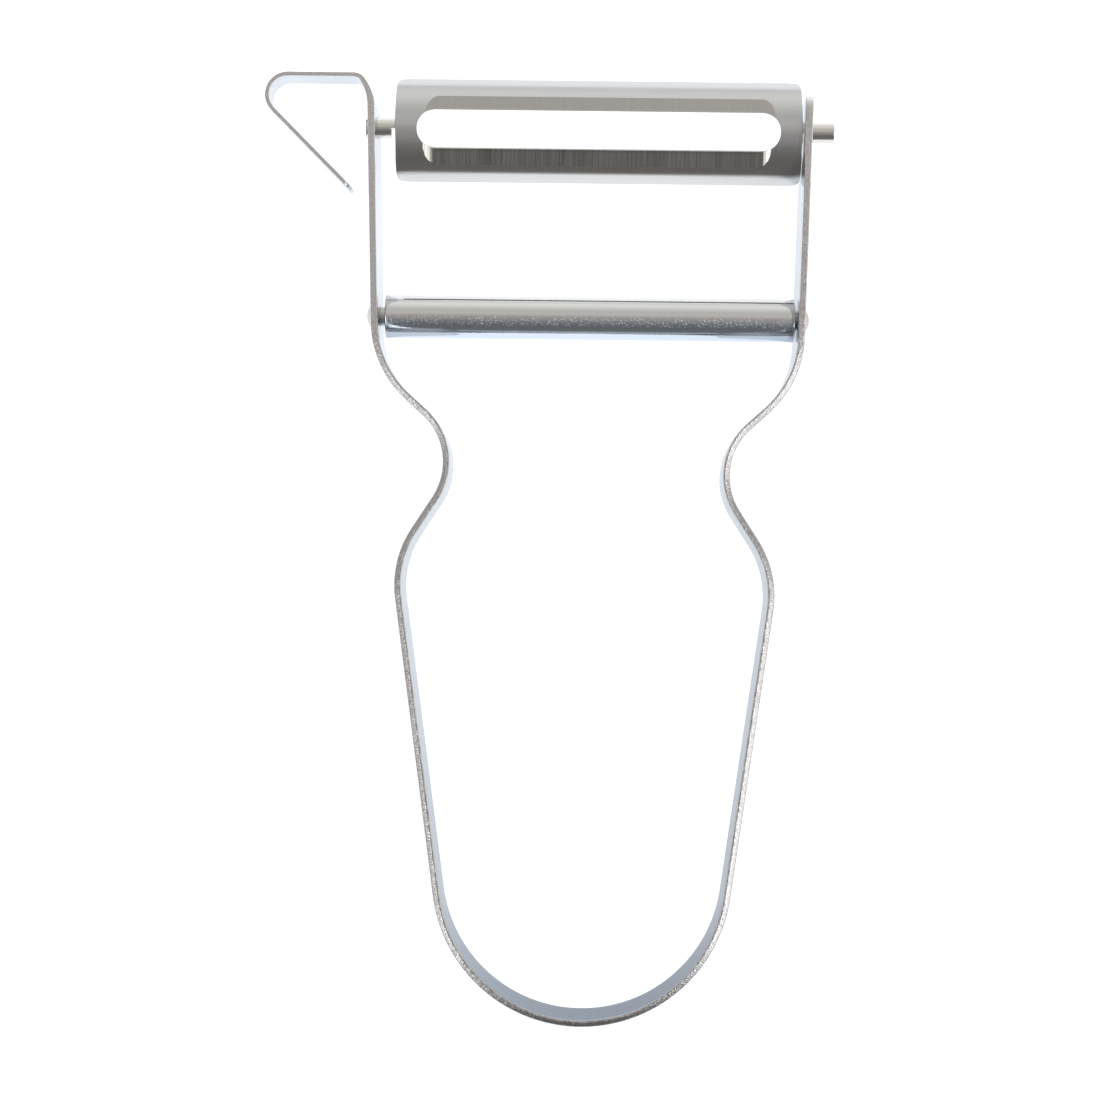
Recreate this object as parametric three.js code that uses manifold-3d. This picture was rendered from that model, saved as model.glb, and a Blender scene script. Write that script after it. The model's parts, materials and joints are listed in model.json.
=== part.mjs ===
// Swivel vegetable peeler bent from one steel strip, in millimetres.
// It lies on its side as on a table: +Z is up, across the width of the strip.
// The origin is in the middle of the strip's lower edge, at the closed end of the handle.
// +Y runs along the centre line from the handle to the blade, +X to the right.
import * as THREE from "three";
import { mergeVertices } from "three/addons/utils/BufferGeometryUtils.js";
import Module from "manifold-3d";

const degree = Math.PI / 180;

// The strip that makes the handle, the neck and the arms
const stripWidth = 10.5;
const stripThickness = 0.8;
const handleEndRadius = 17; // bend radii are those of the middle of the strip
const handleLean = 7.9 * degree; // how far the sides of the handle spread
const handleWidth = 44.1; // outside, across the shoulders
const shoulderRadius = 11.6;
const lowerSlope = 33 * degree; // from the centre line, shoulder to neck
const neckWidth = 33.3; // outside
const neckRadius = 7.8;
const upperSlope = 48 * degree; // from the centre line, neck to arm
const armBendRadius = 11.7;
const armSpan = 50.3; // outside, where the arms leave their bends
const armSplay = 1.5 * degree;
const bendToCrossbar = 1.88;
const crossbarToPivot = 22.1;
const pivotToArmEnd = 3.6;
const neckSkew = 0.5; // the left side of the handle is this much longer, the right one shorter
const armCornerRadius = 1.6;
const bendStep = 5 * degree; // longest turn between two points of a bend

// The tongue on the left arm, bent into a loop for digging out eyes
const tongueWidth = 5.2;
const tongueThickness = 0.45;
const pivotToLean = 1.9; // where the arm begins to lean out
const leanRadius = 5;
const leanTurn = 28 * degree;
const pivotToTongue = 2.6; // where the full width of the arm ends
const tongueTaper = 3.7; // length over which the strip thins down
const leanRun = 0.5;
const tongueInnerBend = 1.34;
const tongueRun = 7.55;
const tongueOuterBend = 2.41;
const tongueTurn = 135 * degree;
const tongueReturn = 13.1;
const tongueTipRadius = 1.2;

// The curved blade with a slot between its two ground edges
const bladeRadius = 7.67; // outside
const bladeSheet = 0.4;
const bladeLength = 47.6;
const bladeHalfArc = 51.75 * degree; // the sheet on each side of the crown
const bladeCornerRadius = 1; // seen from above the crown
const bladeLean = 2.5 * degree; // the crown turned towards the handle
const slotLength = 42.65;
const slotHalfArc = 17.65 * degree; // edges of the slot, on the inner surface
const grindHalfArc = 32.3 * degree; // where a ground edge starts, on the outer surface
const grindEndMargin = 0.9; // ground edges are this much shorter than the slot at each end
const grindCornerRadius = 1.9;

// The round tangs on which the blade turns, rolled from the ends of its sheet
const tangDiameter = 2.4;
const tangReach = 3.7; // past the end of the blade
const tangChamfer = 0.3;
const tangGap = 0.45; // cut between the blade's end and the rolled part
const tangNeckWidth = 1.3;
const tangNeckOverlap = 0.4; // how far the neck is carried into the blade and the tang

// The crossbar: a sleeve turning on a rivet
const sleeveDiameter = 5.1;
const sleeveChamfer = 0.2;
const sleevePlay = 0.85; // along the rivet, in all
const rivetShankDiameter = 2.2;
const rivetHeadDiameter = 3.1;
const rivetHeadHeight = 0.65;

// Clearances
const turningClearance = 0.1; // round a tang or a shank
const headClearance = 0.08; // under a rivet head
const bladeSideClearance = 0.17; // blade to right arm, where the blade rests
const sleeveSideClearance = 0.2; // sleeve to right arm, where the sleeve rests
const cutMargin = 1; // how far a cutter stands out of what it cuts
const roundSegments = 48;

const wasm = await Module();
wasm.setup();

function solidOf(geometry) {
  const bare = new THREE.BufferGeometry();
  bare.setAttribute("position", geometry.getAttribute("position"));
  bare.setIndex(geometry.getIndex());
  const merged = mergeVertices(bare, 1e-4);
  return new wasm.Manifold(
    new wasm.Mesh({
      numProp: 3,
      vertProperties: merged.getAttribute("position").array,
      triVerts: new Uint32Array(merged.getIndex().array),
    }),
  );
}

function geometryOf(solid) {
  const mesh = solid.getMesh();
  const geometry = new THREE.BufferGeometry();
  geometry.setAttribute("position", new THREE.BufferAttribute(mesh.vertProperties, 3));
  geometry.setIndex(new THREE.BufferAttribute(mesh.triVerts, 1));
  geometry.computeVertexNormals();
  return geometry;
}

function steelMesh(name, geometry, color, roughness) {
  const material = new THREE.MeshStandardMaterial({ color, roughness, metalness: 1 });
  const mesh = new THREE.Mesh(geometry, material);
  mesh.name = name;
  return mesh;
}

// A flat outline in X and Y, extruded up from a height
function extrudedUp(shape, bottom, height) {
  const options = { depth: height, bevelEnabled: false, curveSegments: 16 };
  return new THREE.ExtrudeGeometry(shape, options).translate(0, 0, bottom);
}

// An outline in Y and Z, extruded along X from a start
function extrudedAcross(shape, start, length) {
  const options = { depth: length, bevelEnabled: false, curveSegments: 40 };
  const turn = new THREE.Matrix4().makeBasis(
    new THREE.Vector3(0, 1, 0),
    new THREE.Vector3(0, 0, 1),
    new THREE.Vector3(1, 0, 0),
  );
  return new THREE.ExtrudeGeometry(shape, options).applyMatrix4(turn).translate(start, 0, 0);
}

// A profile of [radius, x] points turned about the X axis
function turnedAboutX(profile) {
  const points = profile.map(([radius, x]) => new THREE.Vector2(radius, x));
  return new THREE.LatheGeometry(points, roundSegments).rotateZ(-Math.PI / 2);
}

function roundAlongX(diameter, start, end) {
  const radius = diameter / 2;
  return turnedAboutX([
    [0, start],
    [radius, start],
    [radius, end],
    [0, end],
  ]);
}

// A line bent in the plane, kept as points that each know the direction to their right
// and how far along the line they are. The heading is measured from +Y towards +X.
class BentLine {
  constructor(x, y, heading) {
    this.x = x;
    this.y = y;
    this.heading = heading;
    this.along = 0;
    this.stations = [];
    this.mark();
  }

  mark() {
    const right = new THREE.Vector2(Math.cos(this.heading), -Math.sin(this.heading));
    this.stations.push({ point: new THREE.Vector2(this.x, this.y), right, along: this.along });
  }

  forward(length) {
    this.x += length * Math.sin(this.heading);
    this.y += length * Math.cos(this.heading);
    this.along += length;
    this.mark();
  }

  // A positive angle turns to the right
  bend(radius, angle) {
    const steps = Math.ceil(Math.abs(angle) / bendStep);
    const chord = 2 * radius * Math.sin(Math.abs(angle) / steps / 2);
    for (let step = 0; step < steps; step += 1) {
      this.heading += angle / steps / 2;
      this.x += chord * Math.sin(this.heading);
      this.y += chord * Math.cos(this.heading);
      this.heading += angle / steps / 2;
      this.along += (radius * Math.abs(angle)) / steps;
      this.mark();
    }
  }

  // The points on one side of the line, at a distance to its right
  side(distance) {
    return this.stations.map(({ point, right }) => point.clone().addScaledVector(right, distance));
  }
}

// Half of the strip, drawn as the right one, from the closed end of the handle to the start
// of the arm. The skew is what the side of the handle is longer than in an even strip.
function halfStrip(skew) {
  const line = new BentLine(0, 0, 90 * degree);
  line.bend(handleEndRadius, handleLean - 90 * degree);
  const shoulderX = (handleWidth - stripThickness) / 2;
  const shoulderStart = shoulderX - shoulderRadius * (1 - Math.cos(handleLean));
  line.forward((shoulderStart - line.x) / Math.sin(handleLean) + skew);
  line.bend(shoulderRadius, -handleLean - lowerSlope);
  const neckX = (neckWidth - stripThickness) / 2;
  const neckStart = neckX + neckRadius * (1 - Math.cos(lowerSlope));
  line.forward((line.x - neckStart) / Math.sin(lowerSlope));
  line.bend(neckRadius, lowerSlope + upperSlope);
  const armX = (armSpan - stripThickness) / 2;
  const bendStart = armX - armBendRadius * (Math.cos(armSplay) - Math.cos(upperSlope));
  line.forward((bendStart - line.x) / Math.sin(upperSlope));
  line.bend(armBendRadius, armSplay - upperSlope);
  return line;
}

const armFoot = halfStrip(0);
const crossbarY = armFoot.y + bendToCrossbar * Math.cos(armSplay);
const pivotY = crossbarY + crossbarToPivot * Math.cos(armSplay);
const middleZ = stripWidth / 2;

// Half the distance between the inner, middle or outer faces of the arms at a height along them
function armHalfWidth(y, offset) {
  return armFoot.x + (y - armFoot.y) * Math.tan(armSplay) + offset / Math.cos(armSplay);
}

const mirrored = (points) => points.map((point) => new THREE.Vector2(-point.x, point.y));

// Half of the strip as far as its pivot and a distance past it
function halfPastPivot(skew, past) {
  const line = halfStrip(skew);
  line.forward((pivotY - line.y) / Math.cos(armSplay) + past);
  return line;
}

const fullWidthLean = (pivotToTongue - pivotToLean) / leanRadius;

// The left half as far as the end of the arm's full width
function leftHalf() {
  const line = halfPastPivot(neckSkew, pivotToLean);
  line.bend(leanRadius, fullWidthLean);
  return line;
}

function stripOutline() {
  const right = halfPastPivot(-neckSkew, pivotToArmEnd);
  const left = leftHalf();
  const half = stripThickness / 2;
  return new THREE.Shape([
    ...mirrored(left.side(half)).reverse(),
    ...right.side(half).slice(1),
    ...right.side(-half).reverse(),
    ...mirrored(left.side(-half)).slice(1),
  ]);
}

// The tongue goes on from the left arm, thinner and narrower, and comes back towards the arm
function tongueOutline() {
  const leaning = halfPastPivot(neckSkew, pivotToLean);
  const line = new BentLine(leaning.x, leaning.y, leaning.heading);
  line.bend(leanRadius, fullWidthLean);
  const taperStart = line.along;
  line.bend(leanRadius, leanTurn - fullWidthLean);
  line.forward(leanRun);
  line.bend(tongueInnerBend, 90 * degree - armSplay - leanTurn);
  line.forward(tongueRun);
  line.bend(tongueOuterBend, tongueTurn);
  line.forward(tongueReturn);
  const thinned = (along) => THREE.MathUtils.clamp((along - taperStart) / tongueTaper, 0, 1);
  const half = (along) =>
    THREE.MathUtils.lerp(stripThickness, tongueThickness, thinned(along)) / 2;
  const edge = (sign) =>
    line.stations.map(({ point, right, along }) =>
      point.clone().addScaledVector(right, sign * half(along)),
    );
  return { shape: new THREE.Shape([...mirrored(edge(-1)), ...mirrored(edge(1)).reverse()]), line };
}

// What is left of a square corner outside its fillet, as a cutter that reaches across the arm
function cornerCutter(y, z, ySign, zSign, radius, start, length) {
  const shape = new THREE.Shape();
  shape.moveTo(y - ySign * radius, z);
  shape.absarc(
    y - ySign * radius,
    z - zSign * radius,
    radius,
    (zSign * Math.PI) / 2,
    ySign > 0 ? 0 : Math.PI,
    ySign * zSign > 0,
  );
  shape.lineTo(y + ySign * cutMargin, z - zSign * radius);
  shape.lineTo(y + ySign * cutMargin, z + zSign * cutMargin);
  shape.lineTo(y - ySign * radius, z + zSign * cutMargin);
  return solidOf(extrudedAcross(shape, start, length));
}

function stripFrame() {
  const tongue = tongueOutline();
  let solid = solidOf(extrudedUp(stripOutline(), 0, stripWidth));
  solid = solid.add(solidOf(extrudedUp(tongue.shape, stripWidth - tongueWidth, tongueWidth)));

  const rightEndY = pivotY + pivotToArmEnd * Math.cos(armSplay);
  const armStart = armHalfWidth(pivotY, -stripThickness) - cutMargin;
  const armCut = 2 * (stripThickness + cutMargin);
  for (const [z, zSign] of [[0, -1], [stripWidth, 1]]) {
    solid = solid.subtract(cornerCutter(rightEndY, z, 1, zSign, armCornerRadius, armStart, armCut));
  }
  const leftEnd = leftHalf();
  const shoulderY = leftEnd.y + (stripThickness / 2) * Math.sin(leftEnd.heading);
  solid = solid.subtract(cornerCutter(shoulderY, 0, 1, -1, armCornerRadius, -armStart - armCut, armCut));

  const tipY = tongue.line.y;
  const tipX = -tongue.line.x;
  const tipCut = 2 * (tongueTipRadius + cutMargin);
  for (const [z, zSign] of [[stripWidth - tongueWidth, -1], [stripWidth, 1]]) {
    solid = solid.subtract(
      cornerCutter(tipY, z, -1, zSign, tongueTipRadius, tipX - tipCut / 2, tipCut),
    );
  }

  const holeReach = armHalfWidth(pivotY, stripThickness) + cutMargin;
  const holes = [
    [pivotY, tangDiameter],
    [crossbarY, rivetShankDiameter],
  ];
  for (const [y, diameter] of holes) {
    const hole = roundAlongX(diameter + 2 * turningClearance, -holeReach, holeReach);
    solid = solid.subtract(solidOf(hole.translate(0, y, middleZ)));
  }
  return steelMesh("strip_frame", geometryOf(solid), 0xa9a7a3, 0.32);
}

// The blade is made upright, with its tangs on the X axis and the centre of its curve below them
const bladeCentreZ = tangDiameter / 2 - bladeRadius;

function bladeShell() {
  const inner = bladeRadius - bladeSheet;
  const from = 90 * degree - bladeHalfArc;
  const to = 90 * degree + bladeHalfArc;
  const section = new THREE.Shape();
  section.absarc(0, bladeCentreZ, bladeRadius, from, to, false);
  section.absarc(0, bladeCentreZ, inner, to, from, true);
  const solid = solidOf(extrudedAcross(section, -bladeLength / 2, bladeLength));

  // The four corners of the sheet are rounded
  const cornerX = bladeLength / 2 - bladeCornerRadius;
  const cornerY = bladeRadius * Math.sin(bladeHalfArc) - bladeCornerRadius;
  const plan = new THREE.Shape();
  plan.absarc(cornerX, -cornerY, bladeCornerRadius, -90 * degree, 0, false);
  plan.absarc(cornerX, cornerY, bladeCornerRadius, 0, 90 * degree, false);
  plan.absarc(-cornerX, cornerY, bladeCornerRadius, 90 * degree, 180 * degree, false);
  plan.absarc(-cornerX, -cornerY, bladeCornerRadius, 180 * degree, 270 * degree, false);
  const keep = extrudedUp(plan, bladeCentreZ, bladeRadius + cutMargin);
  return solid.intersect(solidOf(keep));
}

function slotCutter() {
  const half = (bladeRadius - bladeSheet) * Math.sin(slotHalfArc);
  const straight = slotLength / 2 - half;
  const slot = new THREE.Shape();
  slot.absarc(straight, 0, half, -90 * degree, 90 * degree, false);
  slot.absarc(-straight, 0, half, 90 * degree, 270 * degree, false);
  return solidOf(extrudedUp(slot, bladeCentreZ, 2 * bladeRadius));
}

// One ground edge: a flat cut from the outer surface down to the slot's edge on the inner surface
function grindCutter(side) {
  const inner = bladeRadius - bladeSheet;
  const outerY = bladeRadius * Math.sin(grindHalfArc);
  const outerZ = bladeRadius * Math.cos(grindHalfArc);
  const edgeY = inner * Math.sin(slotHalfArc);
  const edgeZ = inner * Math.cos(slotHalfArc);
  const fall = Math.atan2(edgeZ - outerZ, outerY - edgeY);
  const width = Math.hypot(outerY - edgeY, edgeZ - outerZ);
  const half = slotLength / 2 - grindEndMargin;
  const round = Math.min(grindCornerRadius, width);
  const plan = new THREE.Shape();
  plan.moveTo(-half, -cutMargin);
  plan.lineTo(half, -cutMargin);
  plan.absarc(half - round, width - round, round, 0, 90 * degree, false);
  plan.absarc(-half + round, width - round, round, 90 * degree, 180 * degree, false);
  const cutter = extrudedUp(plan, 0, 2 * bladeSheet);
  cutter.rotateX(-fall).translate(0, edgeY, bladeCentreZ + edgeZ);
  return solidOf(side > 0 ? cutter : cutter.rotateZ(Math.PI));
}

// A tang on one side, with the neck of sheet that holds it to the crown of the blade.
// The neck is on the side away from the handle.
function tang(side) {
  const radius = tangDiameter / 2;
  const start = bladeLength / 2 + tangGap;
  const end = bladeLength / 2 + tangReach;
  const pin = turnedAboutX([
    [0, start],
    [radius, start],
    [radius, end - tangChamfer],
    [radius - tangChamfer, end],
    [0, end],
  ]);
  if (side < 0) pin.rotateZ(Math.PI);
  const neckMiddle = side * (start - tangGap / 2);
  const neckHalf = tangGap / 2 + tangNeckOverlap;
  const bar = roundAlongX(tangDiameter, neckMiddle - neckHalf, neckMiddle + neckHalf);
  const part = new THREE.BoxGeometry(4 * neckHalf, tangNeckWidth, radius);
  part.translate(neckMiddle, radius - tangNeckWidth / 2, radius / 2);
  const neck = solidOf(bar).intersect(solidOf(part));
  return solidOf(pin).add(neck);
}

function blade() {
  let solid = bladeShell();
  solid = solid.subtract(slotCutter());
  solid = solid.subtract(grindCutter(1)).subtract(grindCutter(-1));
  solid = solid.add(tang(1)).add(tang(-1));
  const mesh = steelMesh("blade", geometryOf(solid), 0x8f8d89, 0.28);
  const rightArm = armHalfWidth(pivotY, -stripThickness / 2);
  mesh.position.set(rightArm - bladeSideClearance - bladeLength / 2, pivotY, middleZ);
  mesh.rotation.x = bladeLean;
  return mesh;
}

const crossbarGap = armHalfWidth(crossbarY, -stripThickness / 2);

function sleeve() {
  const outer = sleeveDiameter / 2;
  const bore = rivetShankDiameter / 2 + turningClearance;
  const end = crossbarGap - sleeveSideClearance;
  const start = end - (2 * crossbarGap - sleevePlay);
  const geometry = turnedAboutX([
    [bore, start],
    [outer - sleeveChamfer, start],
    [outer, start + sleeveChamfer],
    [outer, end - sleeveChamfer],
    [outer - sleeveChamfer, end],
    [bore, end],
    [bore, start],
  ]);
  const mesh = steelMesh("crossbar_sleeve", geometry, 0xb9b8b5, 0.16);
  mesh.position.set(0, crossbarY, middleZ);
  return mesh;
}

// A shank with a low dome at each end
function rivet() {
  const shank = rivetShankDiameter / 2;
  const head = rivetHeadDiameter / 2;
  const seat = armHalfWidth(crossbarY, stripThickness / 2) + head * Math.tan(armSplay) + headClearance;
  const dome = (head ** 2 + rivetHeadHeight ** 2) / (2 * rivetHeadHeight);
  const sweep = Math.asin(head / dome);
  const steps = 6;
  const rightHalf = [[shank, seat]];
  for (let step = 0; step <= steps; step += 1) {
    const angle = sweep * (1 - step / steps);
    const height = rivetHeadHeight - dome * (1 - Math.cos(angle));
    rightHalf.push([dome * Math.sin(angle), seat + height]);
  }
  const leftHalf = rightHalf.map(([radius, x]) => [radius, -x]).reverse();
  const mesh = steelMesh("crossbar_rivet", turnedAboutX([...leftHalf, ...rightHalf]), 0xb0aeaa, 0.3);
  mesh.position.set(0, crossbarY, middleZ);
  return mesh;
}

const peeler = new THREE.Group();
peeler.add(stripFrame(), blade(), sleeve(), rivet());

export default peeler;
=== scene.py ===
# Looks for a swivel vegetable peeler bent from one steel strip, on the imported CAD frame.
# +Z is up across the strip, +Y runs from the handle to the blade, +X is to the right.
# Shapes are set in millimetres and degrees; meshes, patterns and the stage are in metres.
import json

import bpy
import numpy as np
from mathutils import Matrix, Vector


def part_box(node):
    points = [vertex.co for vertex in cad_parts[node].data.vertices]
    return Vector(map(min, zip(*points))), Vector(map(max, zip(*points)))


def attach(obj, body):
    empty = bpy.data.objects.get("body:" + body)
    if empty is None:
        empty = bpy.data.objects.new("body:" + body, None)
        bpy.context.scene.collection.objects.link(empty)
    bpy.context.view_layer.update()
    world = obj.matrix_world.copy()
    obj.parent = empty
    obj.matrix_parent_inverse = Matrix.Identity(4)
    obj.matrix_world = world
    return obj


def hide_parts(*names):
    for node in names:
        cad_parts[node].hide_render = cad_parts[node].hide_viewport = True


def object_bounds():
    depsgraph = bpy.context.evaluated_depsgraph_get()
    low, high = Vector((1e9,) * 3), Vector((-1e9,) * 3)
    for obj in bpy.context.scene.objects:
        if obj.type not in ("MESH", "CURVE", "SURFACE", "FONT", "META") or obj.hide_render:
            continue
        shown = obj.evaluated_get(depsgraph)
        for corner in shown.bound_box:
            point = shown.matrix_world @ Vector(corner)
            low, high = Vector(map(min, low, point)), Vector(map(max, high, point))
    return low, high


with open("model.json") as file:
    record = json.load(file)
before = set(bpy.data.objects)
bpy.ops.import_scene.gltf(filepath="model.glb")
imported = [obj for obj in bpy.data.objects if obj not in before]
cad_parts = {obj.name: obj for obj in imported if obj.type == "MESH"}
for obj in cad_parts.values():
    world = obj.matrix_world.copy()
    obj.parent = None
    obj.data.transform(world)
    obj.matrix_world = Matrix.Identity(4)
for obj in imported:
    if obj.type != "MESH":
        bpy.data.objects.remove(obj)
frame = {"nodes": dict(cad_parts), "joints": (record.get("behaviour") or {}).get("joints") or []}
cadLow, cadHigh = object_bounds()
cadMiddle = (cadLow + cadHigh) / 2
mm = 0.001
print("frame:", sorted(frame["nodes"]))

jointPlace = {joint["name"]: np.array(joint["pos_m"]) / mm for joint in frame["joints"]}
bladePivot = jointPlace["blade_swivel"]
crossbar = jointPlace["sleeve_spin"]


# Lowest and highest corner of a CAD node in mm
def boxOf(node):
    low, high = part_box(node)
    return np.array(low) / mm, np.array(high) / mm


# Mesh helpers

# Quads between neighbouring rings of a grid whose columns run round; the rings run round too if asked
def gridFaces(rings, columns, ringsClose=False):
    ring = np.arange(rings if ringsClose else rings - 1)[:, None]
    column = np.arange(columns)[None, :]
    nextRing = (ring + 1) % rings
    nextColumn = (column + 1) % columns
    corners = [ring * columns + column, ring * columns + nextColumn,
               nextRing * columns + nextColumn, nextRing * columns + column]
    return np.stack(corners, axis=-1).reshape(-1, 4)


# Six times the volume inside, by the sum of corner dot (next x next but one) over split quads
def signedVolume(points, quads):
    a, b, c, d = (points[quads[:, k]] for k in range(4))
    return np.sum(a * np.cross(b, c)) + np.sum(a * np.cross(c, d))


# A closed mesh from a grid of points [ring, column, xyz] in mm; open ends get a flat cap. Shades
# are shares kept on its points for the material.
def gridMesh(name, grid, ringsClose=False, shades=None):
    rings, columns = grid.shape[:2]
    points = grid.reshape(-1, 3)
    quads = gridFaces(rings, columns, ringsClose)
    caps = []
    if not ringsClose:
        caps = [list(range(columns))[::-1], list(range((rings - 1) * columns, rings * columns))]
    faces = quads.tolist() + caps
    if signedVolume(points - points.mean(axis=0), quads) < 0:
        faces = [face[::-1] for face in faces]
    mesh = bpy.data.meshes.new(name)
    mesh.from_pydata((points * mm).tolist(), [], faces)
    for key, values in (shades or {}).items():
        attribute = mesh.attributes.new(key, "FLOAT", "POINT")
        attribute.data.foreach_set("value", values.astype(np.float32).ravel())
    mesh.validate()
    return mesh


# Joins other closed meshes to an object, or cuts them out of it, and keeps the result as its mesh
def carve(piece, tools, operation):
    helpers = []
    for tool in tools:
        helper = bpy.data.objects.new(tool.name, tool)
        bpy.context.scene.collection.objects.link(helper)
        modifier = piece.modifiers.new(tool.name, "BOOLEAN")
        modifier.operation = operation
        modifier.solver = "EXACT"
        modifier.object = helper
        helpers.append(helper)
    shaped = piece.evaluated_get(bpy.context.evaluated_depsgraph_get())
    mesh = bpy.data.meshes.new_from_object(shaped)
    piece.modifiers.clear()
    piece.data = mesh
    for helper in helpers:
        bpy.data.objects.remove(helper)


# Makes a finished piece of a mesh: carved, smooth up to the crease angle, and riding on its body in
# place of its CAD node
def placePiece(name, mesh, material, body, node,
               tools=(), operation="DIFFERENCE", creaseAngle=30):
    piece = bpy.data.objects.new(name, mesh)
    bpy.context.scene.collection.objects.link(piece)
    if tools:
        carve(piece, tools, operation)
    mesh = piece.data
    mesh.name = name
    mesh.materials.clear()
    mesh.materials.append(material)
    mesh.shade_smooth()
    mesh.set_sharp_from_angle(angle=np.radians(creaseAngle))
    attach(piece, body)
    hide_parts(node)
    mesh.calc_loop_triangles()
    print(name + ":", len(mesh.loop_triangles), "triangles")
    return piece


# A profile of [x, radius] points turned about a line along X at height z and place y
def turned(profile, centre, segments):
    angle = np.linspace(0, 2 * np.pi, segments, endpoint=False)
    x = np.broadcast_to(profile[:, :1], (len(profile), segments))
    y = centre[1] + profile[:, 1:] * np.cos(angle)
    z = centre[2] + profile[:, 1:] * np.sin(angle)
    return np.stack([x, y, z], axis=-1)


# Rounds a corner of a profile: a quarter turn from one direction to the next about an inner point
def quarterRound(centreX, centreR, radius, fromDegrees, toDegrees, steps=5):
    angle = np.radians(np.linspace(fromDegrees, toDegrees, steps))
    return np.stack([centreX + radius * np.cos(angle), centreR + radius * np.sin(angle)], axis=-1)


# Material helpers

noiseRange = (0.3, 0.7)  # most of a noise lies in here


# A node with its own settings; each of its inputs is linked to a socket or set to a value
def addNode(tree, kind, inputs=None, **settings):
    node = tree.nodes.new(kind)
    for key, value in settings.items():
        setattr(node, key, value)
    for key, value in (inputs or {}).items():
        if isinstance(value, bpy.types.NodeSocket):
            tree.links.new(value, node.inputs[key])
        else:
            node.inputs[key].default_value = value
    return node


# Colours at their places along a factor, blended evenly in between
def rampNode(tree, factor, stops):
    ramp = addNode(tree, "ShaderNodeValToRGB", {"Fac": factor})
    elements = ramp.color_ramp.elements
    while len(elements) < len(stops):
        elements.new(1.0)
    for element, (place, colour) in zip(elements, stops):
        element.position = place
        element.color = (*colour, 1)
    return ramp.outputs["Color"]


# Noise on object coordinates, stretched by a scale per metre along each axis
def streaks(tree, coordinates, scale, detail=3.0, roughness=0.6):
    mapping = addNode(tree, "ShaderNodeMapping", {"Vector": coordinates, "Scale": scale})
    noise = addNode(tree, "ShaderNodeTexNoise", {
        "Vector": mapping.outputs["Vector"], "Scale": 1.0, "Detail": detail, "Roughness": roughness})
    return noise.outputs["Fac"]


def mathNode(tree, operation, *values):
    return addNode(tree, "ShaderNodeMath", dict(enumerate(values)), operation=operation).outputs[0]


# A value's range spread evenly over a new one and held at its ends
def spread(tree, value, before, after=(0.0, 1.0)):
    node = addNode(tree, "ShaderNodeMapRange", {
        "Value": value, "From Min": before[0], "From Max": before[1],
        "To Min": after[0], "To Max": after[1]})
    return node.outputs["Result"]


# Two colours, as sockets or as tuples, mixed by a factor
def mixColour(tree, factor, first, second):
    node = addNode(tree, "ShaderNodeMix", {"Factor": factor}, data_type="RGBA")
    for name, value in (("A", first), ("B", second)):
        socket = next(s for s in node.inputs if s.name == name and s.bl_idname == "NodeSocketColor")
        if isinstance(value, bpy.types.NodeSocket):
            tree.links.new(value, socket)
        else:
            socket.default_value = (*value, 1)
    return next(s for s in node.outputs if s.bl_idname == "NodeSocketColor")


# Two numbers mixed by a factor
def mixValue(tree, factor, first, second):
    inputs = {"Factor": factor, "A": first, "B": second}
    return addNode(tree, "ShaderNodeMix", inputs, data_type="FLOAT").outputs["Result"]


# A bump, given as its strength and its depth in metres, over an earlier one where there is one
def bumpNode(tree, height, bump, under=None):
    strength, depth = bump
    inputs = {"Height": height, "Strength": strength, "Distance": depth}
    if under is not None:
        inputs["Normal"] = under
    return addNode(tree, "ShaderNodeBump", inputs).outputs["Normal"]


# A share kept on the piece's own points
def shareOf(tree, name):
    return addNode(tree, "ShaderNodeAttribute", attribute_name=name).outputs["Fac"]


# How far the surface faces along one of the piece's own axes
def facingAlong(tree, places, axis):
    return addNode(tree, "ShaderNodeSeparateXYZ", {"Vector": places.outputs["Normal"]}).outputs[axis]


# Bare metal to be dressed, with its tree, shader and coordinates
def steel(name):
    material = bpy.data.materials.new(name)
    material.use_nodes = True
    tree = material.node_tree
    shader = tree.nodes["Principled BSDF"]
    shader.inputs["Metallic"].default_value = 1.0
    places = addNode(tree, "ShaderNodeTexCoord")
    return material, tree, shader, places


def wire(tree, shader, sockets):
    for name, socket in sockets.items():
        tree.links.new(socket, shader.inputs[name])


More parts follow.
